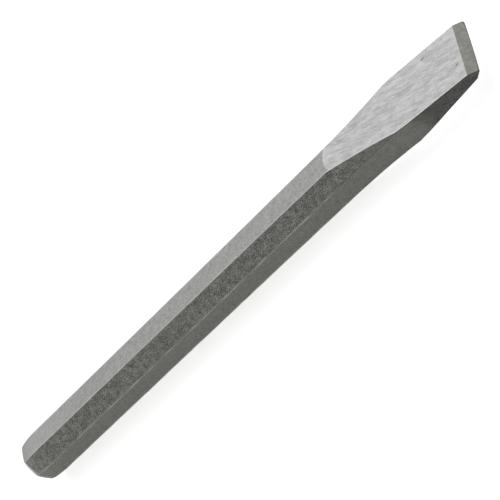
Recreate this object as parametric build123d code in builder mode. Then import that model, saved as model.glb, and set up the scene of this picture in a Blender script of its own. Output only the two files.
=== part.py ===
from build123d import *
from math import radians, tan
import os

os.makedirs("parts", exist_ok=True)

# A cold chisel: one bar of tool steel, forged out at one end, ground to a blade and bevelled.
# X runs from the struck head (-X) to the cutting edge (+X), Y is the blade's width, Z its thickness.
# It rests on its lower flat at Z = 0, so the bar's own axis lies half the stock's height up.

# overall
length = 250.0
x_head = -length / 2
x_edge = length / 2

# octagonal shank: flats facing Y and Z, and four facets at 45 degrees between them
across_flats = 17.5
facet_reach_head = 8.86  # axis to a 45-degree facet at the head
facet_reach_shank = 9.2  # the same where the flare begins: the facets narrow a little
ridge_radius = 0.3

# forged flare, where the bar spreads sideways into the blade
x_flare = 56.0
x_kink = 93.5
kink_half_width = 10.05
kink_radius = 20.0
facet_flare_radius = 400.0

# blade and cutting edge
edge_half_width = 10.2
edge_bow = 0.4  # how far the middle of the edge stands out past its corners
tip_thickness = 4.4  # where the ground faces meet the bevels
ground_length = 63.0
ground_hollow = 0.1  # the ground faces are very slightly hollow
bevel_angle = 30.0  # slope of each bevel, 60 degrees included
edge_land = 0.3
corner_radius = 0.4

# struck head: every flat draws in along an elliptical round, and the end is turned to a round face
crown_length = 11.0
crown_draw_in = 1.85
face_radius = 6.2
rim_length = 4.0
rim_rise = 3.1  # takes the turned rim past the ridges, so it runs out on them

half_stock = across_flats / 2
x_crown = x_head + crown_length
x_bevel = x_edge - (tip_thickness - edge_land) / 2 / tan(radians(bevel_angle))
x_ground = x_bevel - ground_length
facet_reach_edge = facet_reach_shank + (x_edge - x_flare) ** 2 / 2 / facet_flare_radius
beyond = 40.0

# the three ways the bar is seen: from the side, from above and along its axis
elevation = Plane(origin=(0, 0, half_stock), x_dir=(1, 0, 0), z_dir=(0, -1, 0))
plan = Plane.XY.offset(half_stock)
bar_axis = Axis((0, 0, half_stock), (1, 0, 0))


def crown(reach):
    """The round that draws a flat in towards the head's face, for a flat at this reach."""
    return EllipticalCenterArc(
        (x_crown, reach - crown_draw_in), crown_length, crown_draw_in, start_angle=90, arc_size=90
    )


with BuildPart() as forged_chisel:
    # seen along Y: head, parallel shank, ground face, bevel and edge land, the same above and below
    with BuildSketch(elevation):
        with BuildLine():
            head = crown(half_stock)
            flat = Line((x_crown, half_stock), (x_ground, half_stock))
            face = SagittaArc(flat @ 1, (x_bevel, tip_thickness / 2), -ground_hollow)
            bevel = Line(face @ 1, (x_edge, edge_land / 2))
            Polyline(bevel @ 1, (x_edge, 0), (x_head, 0), head @ 1)
        make_face()
        mirror(about=Plane.XZ)
    extrude(amount=beyond, both=True)

    # seen along Z: head, parallel shank, flare, blade sides and the bowed cutting edge
    with BuildSketch(plan) as outline:
        with BuildLine():
            head = crown(half_stock)
            side = Line((x_crown, half_stock), (x_flare, half_stock))
            flare = TangentArc(side @ 1, (x_kink, kink_half_width), tangent=side % 1)
            blade = Line(flare @ 1, (x_edge - edge_bow, edge_half_width))
            edge = ThreePointArc(
                blade @ 1, (x_edge, 0), (x_edge - edge_bow, -edge_half_width)
            )
            mirror(head, about=Plane.XZ)
            mirror(side, about=Plane.XZ)
            mirror(flare, about=Plane.XZ)
            mirror(blade, about=Plane.XZ)
            Line(head @ 1, (x_head, -(half_stock - crown_draw_in)))
        make_face()
        kinks = outline.vertices().filter_by_position(Axis.X, x_kink - 1, x_kink + 1)
        fillet(kinks, kink_radius)
        fillet(outline.vertices().group_by(Axis.X)[-1], corner_radius)
    extrude(amount=beyond, both=True, mode=Mode.INTERSECT)

    # seen along each pair of 45-degree facets: head, a slight taper, then the same kind of flare
    for turn in (45, -45):
        with BuildSketch(plan.rotated((turn, 0, 0))):
            with BuildLine():
                head = crown(facet_reach_head)
                facet = TangentArc(
                    (x_crown, facet_reach_head), (x_flare, facet_reach_shank), tangent=(1, 0)
                )
                spread = TangentArc(facet @ 1, (x_edge, facet_reach_edge), tangent=facet % 1)
                Polyline(spread @ 1, (x_edge, 0), (x_head, 0), head @ 1)
            make_face()
            mirror(about=Plane.XZ)
        extrude(amount=beyond, both=True, mode=Mode.INTERSECT)

    # the end of the head is turned: a round flat face and a rim that runs out on the ridges
    with BuildSketch(elevation):
        with BuildLine():
            rim = EllipticalCenterArc(
                (x_head + rim_length, face_radius), rim_length, rim_rise, start_angle=90, arc_size=90
            )
            Polyline(
                rim @ 0,
                (x_head + rim_length, beyond),
                (x_edge + beyond, beyond),
                (x_edge + beyond, 0),
                (x_head, 0),
                rim @ 1,
            )
        make_face()
    revolve(axis=bar_axis, mode=Mode.INTERSECT)

    # handling has taken the sharpness off every long ridge behind the bevels
    behind_bevels = forged_chisel.edges().filter_by_position(Axis.X, x_head + rim_length, x_bevel - 1)
    cross_edges = behind_bevels.filter_by(lambda line: abs((line @ 0).X - (line @ 1).X) < 0.01)
    fillet(behind_bevels - cross_edges, ridge_radius)

forged_chisel.part.label = "forged_chisel"
export_step(forged_chisel.part, "parts/forged_chisel.step")
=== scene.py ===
import math

import bmesh
import bpy
import numpy as np
from mathutils import Euler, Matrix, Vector


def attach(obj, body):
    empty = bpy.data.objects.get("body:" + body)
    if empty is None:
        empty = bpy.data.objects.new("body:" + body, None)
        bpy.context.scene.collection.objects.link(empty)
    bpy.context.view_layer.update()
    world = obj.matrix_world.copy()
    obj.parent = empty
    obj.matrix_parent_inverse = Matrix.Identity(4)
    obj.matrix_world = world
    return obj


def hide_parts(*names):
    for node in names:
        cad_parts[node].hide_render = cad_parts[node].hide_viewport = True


# A cold chisel lying on its lower flat: one bar of shot-blasted tool steel with a ground blade.
# The shape is worked out in millimetres about the bar's own axis, X from the head to the edge,
# and turned into metres and lifted onto the floor at the end. Materials also work in millimetres.

MM = 0.001

# the bar
X_HEAD = -125.0
X_EDGE = 125.0
HALF_STOCK = 8.75
REACH_HEAD = 8.86  # axis to a 45-degree facet
REACH_SHANK = 9.2
RIDGE_RADIUS = 0.32

# the flare and the blade
X_FLARE = 56.0
X_KINK = 93.5
KINK_HALF_WIDTH = 10.05
KINK_SOFTNESS = 0.015
BEVEL_SOFTNESS = 0.012
FACET_FLARE_RADIUS = 400.0
EDGE_HALF_WIDTH = 10.2
EDGE_BOW = 0.4
TIP_HALF = 2.2
GROUND_LENGTH = 63.0
GROUND_HOLLOW = 0.1
BEVEL_ANGLE = math.radians(30)
LAND_HALF = 0.15
CORNER_RADIUS = 0.4

# the struck head: flats that draw in, and a turned rim round a flat face
CROWN_LENGTH = 11.0
CROWN_DRAW_IN = 1.85
FACE_RADIUS = 6.2
RIM_LENGTH = 4.0
RIM_RISE = 3.1

X_CROWN = X_HEAD + CROWN_LENGTH
X_BEVEL = X_EDGE - (TIP_HALF - LAND_HALF) / math.tan(BEVEL_ANGLE)
X_GROUND = X_BEVEL - GROUND_LENGTH

# unevenness of the forging, and the lengths over which it fades at the head and the blade
WAVINESS = 0.03
WAVY_FROM_HEAD = 3.0
WAVY_TO_BEVEL = 2.0
WAVY_FADE = 20.0

# how the mesh is cut up
STATION_PITCH = 0.72
CLOSEST_STATIONS = 0.012
MERGE_DISTANCE = 0.002
FAR_FROM_RIDGE = 2.0

# the finishes, in the order of the chisel's material slots
FLATS, FACETS, BEVELS, LAND, STRUCK, SIDES = range(6)


# ---------------------------------------------------------------- shape

def smooth_min(a, b, softness):
    return -softness * np.logaddexp(-a / softness, -b / softness)


def elliptical_rise(distance, length, rise):
    """How far an elliptical round of this length has risen, this far from the head's face."""
    t = np.clip(distance / length, 0, 1)
    return rise * np.sqrt(1 - (1 - t) ** 2)


def draw_in(x):
    """How far every flat has drawn in at x: nothing along the shank, most at the head's face."""
    return CROWN_DRAW_IN - elliptical_rise(x - X_HEAD, CROWN_LENGTH, CROWN_DRAW_IN)


def half_thickness(x):
    """Half the height of the bar, the ground blade and the bevelled tip at x."""
    t = np.clip((x - X_GROUND) / GROUND_LENGTH, 0, 1)
    ground = HALF_STOCK + (TIP_HALF - HALF_STOCK) * t - 4 * GROUND_HOLLOW * t * (1 - t)
    bevel = LAND_HALF + (X_EDGE - x) * math.tan(BEVEL_ANGLE)
    return smooth_min(ground, bevel, BEVEL_SOFTNESS) - draw_in(x)


def half_width(x):
    """Half the width of the bar, its flare and the blade at x."""
    bend = (KINK_HALF_WIDTH - HALF_STOCK) / (X_KINK - X_FLARE) ** 2
    flare = HALF_STOCK + bend * np.clip(x - X_FLARE, 0, None) ** 2
    slope = (EDGE_HALF_WIDTH - KINK_HALF_WIDTH) / (X_EDGE - X_KINK)
    blade = KINK_HALF_WIDTH + slope * (x - X_KINK)
    return smooth_min(flare, blade, KINK_SOFTNESS) - draw_in(x)


def facet_reach(x):
    """Distance from the axis to a 45-degree facet at x."""
    grown = REACH_SHANK - REACH_HEAD
    along = np.clip((x - X_CROWN) / (X_FLARE - X_CROWN), 0, 1)
    slope = 2 * grown / (X_FLARE - X_CROWN)
    past = np.clip(x - X_FLARE, 0, None)
    spread_out = (X_EDGE - X_FLARE) ** 2 / (2 * FACET_FLARE_RADIUS) - slope * (X_EDGE - X_FLARE)
    flare = slope * past + spread_out * (past / (X_EDGE - X_FLARE)) ** 2
    return REACH_HEAD + grown * along ** 2 + flare - draw_in(x)


def stations():
    """Places along the bar where it is cut into sections, closer where the shape turns."""
    crown = X_HEAD + CROWN_LENGTH * (1 - np.cos(np.linspace(0, math.pi / 2, 44)))
    shank = np.arange(X_CROWN, X_BEVEL, STATION_PITCH)[1:]
    bevel = np.linspace(X_BEVEL, X_EDGE - CORNER_RADIUS, 14)
    around_start = X_GROUND + np.array([-0.3, -0.1, 0.0, 0.1, 0.3])
    around_bevel = X_BEVEL + np.array([-0.35, -0.12, -0.04, 0.04, 0.12])
    tip = X_EDGE - CORNER_RADIUS * (1 - np.sin(np.linspace(0, math.pi / 2, 7)))
    every = np.unique(np.concatenate([crown, shank, around_start, around_bevel, bevel, tip]))
    return every[np.append(np.diff(every) > CLOSEST_STATIONS, True)]


def spread(count, rim):
    """Fractions from 0 to 1 with two extra ones close to the far end, so flats stay flat."""
    return np.append(np.linspace(0, 1 - 3 * rim, count), [1 - rim, 1.0])


def arc(centre_y, centre_z, radius, first, last):
    """Four more points on an arc of a rounded ridge, after its first one."""
    turn = np.radians(np.linspace(first, last, 5)[1:])
    return np.column_stack([centre_y + radius * np.cos(turn), centre_z + radius * np.sin(turn)])


def quarter(half_y, half_z, reach, radius):
    """A quarter of a section from the top's middle to the side's: points and ridge distances."""
    core_y = half_y - radius
    core_z = half_z - radius
    diagonal = (reach - radius) * math.sqrt(2)
    shoulder = min(core_y, diagonal - core_z)
    drop = min(core_z, diagonal - core_y)
    out = spread(7, 0.02)
    top = np.column_stack([shoulder * out, np.full(len(out), half_z)])
    upper = arc(shoulder, core_z, radius, 90, 45)
    lower = arc(core_y, drop, radius, 45, 0)
    diagonal_step = radius * math.sqrt(0.5)
    end = np.array((core_y + diagonal_step, drop + diagonal_step))
    half = spread(5, 0.03) / 2
    across = np.unique(np.round(np.concatenate([1 - half, half]), 6))[1:]
    facet = upper[-1] + np.outer(across, end - upper[-1])
    facet_width = math.dist(end, upper[-1])
    down = 1 - spread(6, 0.02)[::-1][1:]
    side = np.column_stack([np.full(len(down), half_y), drop * (1 - down)])
    points = np.concatenate([top, upper, facet, lower, side])
    ridge = np.concatenate([
        shoulder * (1 - out),
        np.zeros(len(upper)),
        facet_width * np.minimum(across, 1 - across),
        np.zeros(len(lower)),
        drop * down,
    ])
    return points, ridge


def whole(points, flip_y, flip_z):
    """The other three quarters follow from the first by mirroring."""
    inner = points[1:-1]
    return np.concatenate([
        points[:-1], points[-1:], inner[::-1] * flip_z, points[:1] * flip_z,
        inner * flip_y * flip_z, points[-1:] * flip_y, inner[::-1] * flip_y,
    ])


def section(x):
    """A closed loop of (y, z) points round the bar at x, and each one's distance from a ridge."""
    width, height, reach = (float(f(x)) for f in (half_width, half_thickness, facet_reach))
    ahead = max(x - (X_EDGE - CORNER_RADIUS), 0.0)
    width -= CORNER_RADIUS - math.sqrt(max(CORNER_RADIUS ** 2 - ahead ** 2, 0.0))
    points, ridge = quarter(width, height, reach, min(RIDGE_RADIUS, 0.8 * height))
    if x < X_HEAD + RIM_LENGTH:
        rim = FACE_RADIUS + float(elliptical_rise(x - X_HEAD, RIM_LENGTH, RIM_RISE))
        far = np.linalg.norm(points, axis=1)
        points = points * np.minimum(1, rim / far)[:, None]
        ridge = np.where(far > rim, 0.0, ridge)
    loop = whole(points, np.array((-1, 1)), np.array((1, -1)))
    return loop, whole(ridge, 1, 1)


def waviness(x, around):
    """Small unevenness of a forged and blasted bar, in millimetres, always inwards."""
    rng = np.random.default_rng(7)
    total = np.zeros(x.shape)
    for _ in range(14):
        pitch = rng.uniform(5, 26)
        turns = rng.integers(1, 6)
        phase = rng.uniform(0, 2 * math.pi, 2)
        total += np.sin(2 * math.pi * x / pitch + phase[0]) * np.cos(turns * around + phase[1])
    return WAVINESS * (1 + np.tanh(total / 4))


def bow_edge(grid):
    """The cutting edge bows: sections past the ground face lean back towards their corners."""
    lean = np.clip((grid[..., 0] - X_BEVEL) / (X_EDGE - X_BEVEL), 0, 1)
    back = EDGE_BOW * lean * (grid[..., 1] / EDGE_HALF_WIDTH) ** 2
    grid[..., 0] -= back
    grid[..., 2] += np.clip(grid[..., 2] / LAND_HALF, -1, 1) * back * math.tan(BEVEL_ANGLE)


def roughen(grid):
    """Waviness, faded out at the blade's tip and the head's face, and none on the lower flat."""
    x = grid[..., 0]
    around = np.arctan2(grid[..., 2], grid[..., 1])
    towards_blade = np.clip((X_BEVEL - WAVY_TO_BEVEL - x) / WAVY_FADE, 0, 1)
    from_head = np.clip((x - X_HEAD) / WAVY_FROM_HEAD, 0, 1)
    shrink = 1 - waviness(x, around) * (towards_blade * from_head) / HALF_STOCK
    resting = grid[..., 2] < -HALF_STOCK + 0.01
    grid[..., 1] *= shrink
    grid[..., 2] *= np.where(resting, 1, shrink)


def bar_points():
    """All section points as an array (station, around, xyz) in millimetres, and ridge distances."""
    rows = []
    ridges = []
    for x in stations():
        loop, ridge = section(x)
        rows.append(np.column_stack([np.full(len(loop), x), loop]))
        ridges.append(ridge)
    grid = np.array(rows)
    bow_edge(grid)
    roughen(grid)
    return grid, np.array(ridges)


def zones(grid):
    """The finish of each face between two stations, as an index into FINISHES."""
    ahead = np.roll(grid, -1, axis=1) - grid
    step_y = np.abs(ahead[:-1, :, 1])
    step_z = np.abs(ahead[:-1, :, 2])
    kind = np.where(step_z < 0.6 * step_y, FLATS, FACETS)
    kind = np.where(step_z > 1.2 * step_y, SIDES, kind)
    between = (grid[:-1, :, 0] + grid[1:, :, 0]) / 2
    return np.where((kind == FLATS) & (between > X_BEVEL), BEVELS, kind)


class Mesh:
    """Points, faces, the finish of each face and the ridge distance of each point, as they grow.

    Every face lists its corners anticlockwise as seen from outside, so its normal points outwards.
    """

    def __init__(self, grid, ridges):
        self.points = list(grid.reshape(-1, 3))
        self.ridges = list(ridges.reshape(-1))
        self.faces = []
        self.kinds = []

    def face(self, corners, kind):
        self.faces.append(corners)
        self.kinds.append(int(kind))

    def ring(self, outline, scale):
        """A copy of the head's outline drawn towards the axis, as a new ring of points."""
        first = len(self.points)
        self.points += [point * (1, scale, scale) for point in outline]
        self.ridges += [FAR_FROM_RIDGE] * len(outline)
        return [first + j for j in range(len(outline))]

    def to_object(self, name):
        lifted = (np.array(self.points) + (0, 0, HALF_STOCK)) * MM
        mesh = bpy.data.meshes.new(name)
        mesh.from_pydata(lifted.tolist(), [], self.faces)
        mesh.polygons.foreach_set("material_index", self.kinds)
        mesh.polygons.foreach_set("use_smooth", [True] * len(self.faces))
        layer = mesh.attributes.new("ridge_distance", "FLOAT", "POINT")
        layer.data.foreach_set("value", self.ridges)
        # facets run out to nothing along the blade, so points there fall together
        shape = bmesh.new()
        shape.from_mesh(mesh)
        bmesh.ops.remove_doubles(shape, verts=shape.verts, dist=MERGE_DISTANCE * MM)
        shape.to_mesh(mesh)
        shape.free()
        made = bpy.data.objects.new(name, mesh)
        bpy.context.scene.collection.objects.link(made)
        return made


def add_walls(mesh, grid):
    rows, around = grid.shape[:2]
    kind = zones(grid)
    for i in range(rows - 1):
        near, far = i * around, (i + 1) * around
        for j in range(around):
            k = (j + 1) % around
            mesh.face((near + j, far + j, far + k, near + k), kind[i, j])


def add_struck_face(mesh, grid):
    """Rings that close in on the middle of the head's flat face."""
    around = grid.shape[1]
    ring = list(range(around))
    for scale in (0.985, 0.93, 0.75, 0.5, 0.25, 0.0):
        inner = mesh.ring(grid[0], scale)
        for j in range(around):
            k = (j + 1) % around
            mesh.face((ring[j], ring[k], inner[k], inner[j]), STRUCK)
        ring = inner


def add_land(mesh, grid):
    """Strips between the upper and the lower bevel, from one end of the edge to the other."""
    rows, around = grid.shape[:2]
    last = (rows - 1) * around
    side = around // 4
    for j in range(-side, side):
        upper = (last + (j + 1) % around, last + j % around)
        lower = (last + (2 * side - j) % around, last + 2 * side - j - 1)
        corners = dict.fromkeys((*upper, *lower))
        mesh.face(tuple(corners), LAND)


def build_bar():
    grid, ridges = bar_points()
    mesh = Mesh(grid, ridges)
    add_walls(mesh, grid)
    add_struck_face(mesh, grid)
    add_land(mesh, grid)
    return mesh.to_object("chisel")


# ---------------------------------------------------------------- shader helpers

class Shader:
    """A material's node tree, built with one call per node."""

    def __init__(self, name):
        self.material = bpy.data.materials.new(name)
        self.material.use_nodes = True
        self.tree = self.material.node_tree
        self.tree.nodes.clear()
        self.out = self.tree.nodes.new("ShaderNodeOutputMaterial")
        self.surface = self.tree.nodes.new("ShaderNodeBsdfPrincipled")
        self.tree.links.new(self.surface.outputs[0], self.out.inputs[0])
        coords = self.tree.nodes.new("ShaderNodeTexCoord")
        self.mm = self.scaled(coords.outputs["Object"], (1000, 1000, 1000))
        split = self.tree.nodes.new("ShaderNodeSeparateXYZ")
        self.tree.links.new(self.mm, split.inputs[0])
        self.x, self.y, self.z = split.outputs

    def put(self, value, socket):
        """Link another node's output to a socket, or set the socket to a plain value."""
        if hasattr(value, "is_output"):
            self.tree.links.new(value, socket)
        else:
            socket.default_value = value

    def scaled(self, vector, scale):
        node = self.tree.nodes.new("ShaderNodeMapping")
        node.inputs["Scale"].default_value = scale
        self.put(vector, node.inputs["Vector"])
        return node.outputs[0]

    def placed(self, centre, size, turn):
        """Coordinates measured from a centre, along and across a direction, in units of size."""
        node = self.tree.nodes.new("ShaderNodeMapping")
        node.vector_type = "TEXTURE"
        node.inputs["Location"].default_value = centre
        node.inputs["Rotation"].default_value = (0, 0, math.radians(turn))
        node.inputs["Scale"].default_value = size
        self.put(self.mm, node.inputs["Vector"])
        return node.outputs[0]

    def length(self, vector):
        node = self.tree.nodes.new("ShaderNodeVectorMath")
        node.operation = "LENGTH"
        self.put(vector, node.inputs[0])
        return node.outputs["Value"]

    def math(self, operation, a, b=0.0, c=0.0):
        node = self.tree.nodes.new("ShaderNodeMath")
        node.operation = operation
        for value, socket in zip((a, b, c), node.inputs):
            self.put(value, socket)
        return node.outputs[0]

    def joined(self, x, y, z):
        node = self.tree.nodes.new("ShaderNodeCombineXYZ")
        for value, socket in zip((x, y, z), node.inputs):
            self.put(value, socket)
        return node.outputs[0]

    def noise(self, scale, detail=2.0, vector=None, roughness=0.5):
        node = self.tree.nodes.new("ShaderNodeTexNoise")
        self.put(self.mm if vector is None else vector, node.inputs["Vector"])
        node.inputs["Scale"].default_value = scale
        node.inputs["Detail"].default_value = detail
        node.inputs["Roughness"].default_value = roughness
        return node.outputs[0]

    def cells(self, scale):
        node = self.tree.nodes.new("ShaderNodeTexVoronoi")
        self.put(self.mm, node.inputs["Vector"])
        node.inputs["Scale"].default_value = scale
        return node.outputs["Distance"]

    def step(self, value, low, high, out_low=0.0, out_high=1.0):
        """A smooth rise from out_low, where the value is at low, to out_high at high."""
        node = self.tree.nodes.new("ShaderNodeMapRange")
        node.interpolation_type = "SMOOTHSTEP"
        for item, socket in zip((value, low, high, out_low, out_high), node.inputs):
            self.put(item, socket)
        return node.outputs[0]

    def blend(self, amount, first, second):
        node = self.tree.nodes.new("ShaderNodeMix")
        node.data_type = "RGBA"
        colours = [socket for socket in node.inputs if socket.type == "RGBA"]
        self.put(amount, node.inputs["Factor"])
        self.put(first, colours[0])
        self.put(second, colours[1])
        return [socket for socket in node.outputs if socket.type == "RGBA"][0]

    def mixed(self, amount, first, second):
        """A number part of the way from the first to the second."""
        return self.math("MULTIPLY_ADD", amount, self.math("SUBTRACT", second, first), first)

    def bump(self, height, strength, distance):
        node = self.tree.nodes.new("ShaderNodeBump")
        node.inputs["Strength"].default_value = strength
        node.inputs["Distance"].default_value = distance
        self.put(height, node.inputs["Height"])
        return node.outputs[0]

    def attribute(self, name):
        node = self.tree.nodes.new("ShaderNodeAttribute")
        node.attribute_name = name
        return node.outputs["Fac"]

    def finish(self, colour, roughness, normal, metallic):
        self.put(colour, self.surface.inputs["Base Color"])
        self.put(roughness, self.surface.inputs["Roughness"])
        self.put(normal, self.surface.inputs["Normal"])
        self.surface.inputs["Metallic"].default_value = metallic
        return self.material


def grey(level, warmth=0.0):
    """A grey, a little yellower and greener the warmer it is."""
    return (level * (1 + 0.6 * warmth), level * (1 + warmth), level * (1 - warmth), 1.0)


# ---------------------------------------------------------------- finishes

METALLIC = 0.75

# three dents on the upper ground face: centre, length, width (mm) and direction (degrees)
NICKS = (
    ((107.1, 7.2, 12.4), 1.1, 0.36, 12),
    ((119.0, -3.9, 11.2), 1.0, 0.3, 16),
    ((115.9, 8.5, 11.5), 0.8, 0.25, 5),
)


def blasted_grain(s, scale):
    """Fine shot-blasted pits with a little coarser mottling, as a height about 0.5."""
    fine = s.noise(scale, 2.0, roughness=0.6)
    pits = s.step(s.cells(0.8 * scale), 0.1, 0.6)
    coarse = s.noise(0.45, 2.0)
    grain = s.math("MULTIPLY_ADD", s.math("SUBTRACT", pits, 0.5), 0.12, fine)
    return s.math("MULTIPLY_ADD", s.math("SUBTRACT", coarse, 0.5), 0.3, grain)


def painted_head_rim_highlight(s):
    """1 along the last two millimetres of the head, where a bright rim is painted on as a
    highlight.
    """
    ragged = s.math("MULTIPLY_ADD", s.noise(0.9, 2.0), 1.0, s.x)
    return s.step(ragged, X_HEAD + 1.6, X_HEAD + 2.8, 1.0, 0.0)


def ridge_wear_and_highlight(s, width):
    """1 on the ridges, painted brighter partly for their wear and partly as a highlight, breaking
    up into 0 over the given width in millimetres.
    """
    ragged = s.math("MULTIPLY_ADD", s.noise(1.3, 2.0), 0.6, -0.3)
    distance = s.math("ADD", s.attribute("ridge_distance"), ragged)
    return s.step(distance, 0.0, width, 1.0, 0.0)


def along_shank(s):
    """1 along the shank and 0 from the flare on, where the ridges get neither wear nor a painted
    highlight.
    """
    return s.step(s.x, X_FLARE - 8, X_FLARE + 6, 1.0, 0.0)


def blasted_steel():
    """The 45-degree facets: coarsely shot blasted, brighter along the ridges from wear and a
    painted highlight, and with a painted highlight on the head's rim.
    """
    s = Shader("blasted_steel")
    grain = blasted_grain(s, 3.0)
    colour = s.blend(s.step(grain, 0.34, 0.8), grey(0.11, 0.055), grey(0.56, 0.04))
    # the blasting gets finer along the flare, until a facet looks like the side beside it
    finer = s.step(s.x, X_FLARE + 6, X_FLARE + 32, 0.0, 0.8)
    colour = s.blend(finer, colour, grey(0.25, 0.05))
    wear_and_highlight = s.math("MULTIPLY", ridge_wear_and_highlight(s, 0.4), along_shank(s))
    # the ridges painted brighter: partly wear, partly a painted highlight
    colour = s.blend(s.math("MULTIPLY", wear_and_highlight, 0.3), colour, grey(0.5))
    # a painted highlight on the rim of the head
    colour = s.blend(painted_head_rim_highlight(s), colour, grey(0.8))
    return s.finish(colour, s.mixed(wear_and_highlight, 0.6, 0.5), s.bump(grain, 0.6, 0.0002), METALLIC)


def side_steel():
    """The side flats: the same steel, smoother, and painted darker as shade, darkest towards the
    tip.
    """
    s = Shader("side_steel")
    grain = blasted_grain(s, 2.2)
    # the side's darker greys are painted shade on the same steel as the facets
    colour = s.blend(s.step(grain, 0.25, 0.75), grey(0.1, 0.05), grey(0.19, 0.05))
    darker_tip = s.blend(s.step(grain, 0.3, 0.7), grey(0.03, 0.06), grey(0.095, 0.05))
    border = s.math("MULTIPLY_ADD", s.noise(0.3, 2.0), 6.0, s.x)
    colour = s.blend(s.step(border, X_KINK + 1, X_KINK + 12), colour, darker_tip)
    wear_and_highlight = s.math("MULTIPLY", ridge_wear_and_highlight(s, 0.6), along_shank(s))
    faint = s.step(s.noise(0.12, 1.0), 0.4, 0.6, 0.25, 0.9)
    # the ridges painted brighter: partly wear, partly a painted highlight
    colour = s.blend(s.math("MULTIPLY", wear_and_highlight, faint), colour, grey(0.36, 0.04))
    # a fainter painted highlight on the rim of the head
    colour = s.blend(s.math("MULTIPLY", painted_head_rim_highlight(s), 0.6), colour, grey(0.4))
    return s.finish(colour, s.mixed(wear_and_highlight, 0.62, 0.5), s.bump(grain, 0.25, 0.0002), METALLIC)


def belt_streaks(s, across, along_scale, across_scale, detail):
    """Brushed lines left by the grinding belt, long one way and fine the other."""
    along = s.math("MULTIPLY", s.x, along_scale)
    return s.noise(1.0, detail, s.joined(along, s.math("MULTIPLY", across, across_scale), s.z))


def nick(s, centre, length, width, turn):
    """1 inside a small elongated dent and 0 outside it."""
    spot = s.placed(centre, (length, width, 6.0), turn)
    return s.step(s.length(spot), 0.35, 1.0, 1.0, 0.0)


def ground_finish(s, along):
    """Colour and height of the belt-ground blade face, with its streaks, scratches and nicks."""
    # the belt swings a little as it goes along the blade, so its lines curve
    swing = s.math("MULTIPLY_ADD", along, -0.00133, 0.277)
    across = s.math("MULTIPLY_ADD", along, swing, s.y)
    fine = belt_streaks(s, across, 0.3, 3.2, 2.0)
    wide = belt_streaks(s, across, 0.07, 0.7, 2.0)
    patches = s.noise(0.22, 2.0)
    speckle = s.noise(1.8, 2.0)
    streaks = s.math("MULTIPLY_ADD", fine, 0.4, s.math("MULTIPLY", wide, 0.25))
    streaks = s.math("MULTIPLY_ADD", speckle, 0.2, streaks)
    streaks = s.math("MULTIPLY_ADD", patches, 0.15, streaks)
    colour = s.blend(s.step(streaks, 0.36, 0.64), grey(0.355), grey(0.6))

    # long dark scratches lie in patches, mostly where the grinding starts
    scratch = s.step(belt_streaks(s, across, 0.1, 4.2, 1.0), 0.6, 0.72)
    where = s.step(s.math("MULTIPLY_ADD", along, -0.006, s.noise(0.16, 1.0)), 0.2, 0.5)
    scratched = s.math("MULTIPLY", s.math("MULTIPLY", scratch, where), 0.5)
    colour = s.blend(scratched, colour, grey(0.28))
    dents = s.math("MAXIMUM", *(nick(s, *each) for each in NICKS[:2]))
    dents = s.math("MAXIMUM", dents, s.math("MULTIPLY", nick(s, *NICKS[2]), 0.7))
    colour = s.blend(s.math("MULTIPLY", dents, 0.8), colour, grey(0.08))
    fresh = s.step(along, 0.0, 4.0, 0.4, 0.0)
    colour = s.blend(fresh, colour, grey(0.64))
    return colour, s.math("MULTIPLY_ADD", dents, -0.8, streaks)


def flat_steel():
    """Upper and lower flats: blasted along the shank, belt ground along the blade."""
    s = Shader("flat_steel")
    grain = blasted_grain(s, 2.2)
    # the shank's flats are lighter than the facets and sides, partly their own finish and partly
    # painted light
    shank = s.blend(s.step(grain, 0.25, 0.75), grey(0.3, 0.02), grey(0.51, 0.015))
    # handling has brightened the flats towards the head
    handled = s.step(s.x, X_HEAD, X_HEAD + 50, 0.4, 0.0)
    shank = s.blend(handled, shank, grey(0.58))
    along = s.math("SUBTRACT", s.x, X_GROUND)
    ground, streaks = ground_finish(s, along)
    # the ground face starts on a line that bulges towards the head
    bulge = s.math("MULTIPLY", s.math("MULTIPLY", s.y, s.y), 0.08)
    start = s.math("MULTIPLY_ADD", s.noise(1.4, 2.0), 0.3, s.math("SUBTRACT", along, bulge))
    is_ground = s.step(start, 0.2, 0.4)
    colour = s.blend(is_ground, shank, ground)
    wear_and_highlight = ridge_wear_and_highlight(s, 0.35)
    # the ridges painted brighter: partly wear, partly a painted highlight
    colour = s.blend(s.math("MULTIPLY", wear_and_highlight, 0.7), colour, grey(0.72))
    roughness = s.mixed(is_ground, 0.58, 0.44)
    height = s.mixed(is_ground, grain, streaks)
    return s.finish(colour, roughness, s.bump(height, 0.3, 0.00015), METALLIC)


def bevel_steel():
    """The cutting bevels: satin grinding, slightly warm and mottled."""
    s = Shader("bevel_steel")
    stretched = s.joined(s.math("MULTIPLY", s.x, 1.2), s.math("MULTIPLY", s.y, 2.4), s.z)
    lines = s.noise(1.0, 2.0, stretched)
    mottle = s.math("MULTIPLY_ADD", s.noise(0.7, 2.0), 0.5, s.math("MULTIPLY", lines, 0.5))
    colour = s.blend(s.step(mottle, 0.35, 0.65), grey(0.25, 0.05), grey(0.34, 0.045))
    return s.finish(colour, 0.5, s.bump(lines, 0.25, 0.00008), METALLIC)


def land_steel():
    """The narrow blunt land along the edge: darker, with burrs left by use."""
    s = Shader("land_steel")
    burr = s.noise(2.2, 3.0)
    colour = s.blend(s.step(burr, 0.4, 0.65), grey(0.09, 0.02), grey(0.24))
    return s.finish(colour, 0.5, s.bump(burr, 0.5, 0.0001), METALLIC)


def struck_steel():
    """The head's face: polished a little by hammer blows, with faint round dents."""
    s = Shader("struck_steel")
    dents = s.step(s.cells(0.45), 0.1, 0.7)
    both = s.math("MULTIPLY_ADD", s.noise(1.75, 2.0), 0.5, s.math("MULTIPLY", dents, 0.5))
    colour = s.blend(s.step(both, 0.3, 0.75), grey(0.27, 0.02), grey(0.42))
    return s.finish(colour, 0.5, s.bump(both, 0.4, 0.0002), METALLIC)


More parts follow.
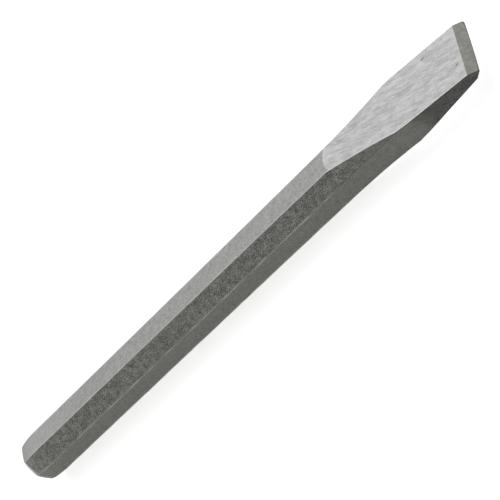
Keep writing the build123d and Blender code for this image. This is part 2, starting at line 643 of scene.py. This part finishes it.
FINISHES = {
    FLATS: flat_steel,
    FACETS: blasted_steel,
    BEVELS: bevel_steel,
    LAND: land_steel,
    STRUCK: struck_steel,
    SIDES: side_steel,
}


# ---------------------------------------------------------------- stage

def build_floor():
    """A pale floor that glows a little, so that it stays white and its shadows stay faint."""
    bpy.ops.mesh.primitive_plane_add(size=12, location=(0, 0, 0))
    floor = bpy.context.object
    floor.name = "floor"
    material = bpy.data.materials.new("pale_floor")
    material.use_nodes = True
    surface = material.node_tree.nodes["Principled BSDF"]
    surface.inputs["Base Color"].default_value = (0.86, 0.86, 0.86, 1)
    surface.inputs["Roughness"].default_value = 0.9
    surface.inputs["Specular IOR Level"].default_value = 0.0
    surface.inputs["Emission Color"].default_value = (1, 1, 1, 1)
    surface.inputs["Emission Strength"].default_value = 0.7
    floor.data.materials.append(material)
    return floor


def add_light(name, direction, distance, size, power):
    """A rectangular lamp that faces the origin from this direction and distance, in metres."""
    data = bpy.data.lights.new(name, "AREA")
    data.shape = "RECTANGLE"
    data.size, data.size_y = size
    data.energy = power
    lamp = bpy.data.objects.new(name, data)
    towards = Vector(direction).normalized()
    lamp.location = towards * distance
    lamp.rotation_euler = towards.to_track_quat("Z", "Y").to_euler()
    bpy.context.scene.collection.objects.link(lamp)
    return lamp


def build_light():
    add_light("window", (-0.3, 0.8, 1.0), 2.0, (3.0, 2.0), 20)
    add_light("overhead", (0.1, 0.25, 1.0), 2.2, (2.4, 2.4), 10)
    add_light("head_rim", (-1.0, -0.1, 0.2), 1.2, (0.5, 0.4), 1.5)
    world = bpy.data.worlds.new("studio")
    bpy.context.scene.world = world
    world.use_nodes = True
    background = world.node_tree.nodes["Background"]
    background.inputs["Color"].default_value = (1, 1, 1, 1)
    background.inputs["Strength"].default_value = 0.2


def build_camera():
    data = bpy.data.cameras.new("camera")
    data.sensor_width = 36
    data.lens = 211.23
    data.clip_start = 0.01
    camera = bpy.data.objects.new("camera", data)
    camera.location = (0.5902, -0.54928, 0.57346)
    camera.rotation_euler = Euler([math.radians(a) for a in (19.939, 52.269, -18.797)])
    bpy.context.scene.collection.objects.link(camera)
    bpy.context.scene.camera = camera


# ---------------------------------------------------------------- build

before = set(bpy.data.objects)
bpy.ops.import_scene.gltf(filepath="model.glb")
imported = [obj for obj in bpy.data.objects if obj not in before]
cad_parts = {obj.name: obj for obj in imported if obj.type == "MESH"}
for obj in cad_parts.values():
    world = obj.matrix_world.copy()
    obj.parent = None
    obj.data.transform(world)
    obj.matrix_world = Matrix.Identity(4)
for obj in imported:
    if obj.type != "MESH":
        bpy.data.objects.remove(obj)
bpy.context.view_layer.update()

chisel = build_bar()
for kind in sorted(FINISHES):
    chisel.data.materials.append(FINISHES[kind]())
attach(chisel, "root")
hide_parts("forged_chisel")

build_floor()
build_light()
build_camera()
bpy.context.scene.view_settings.view_transform = "Standard"
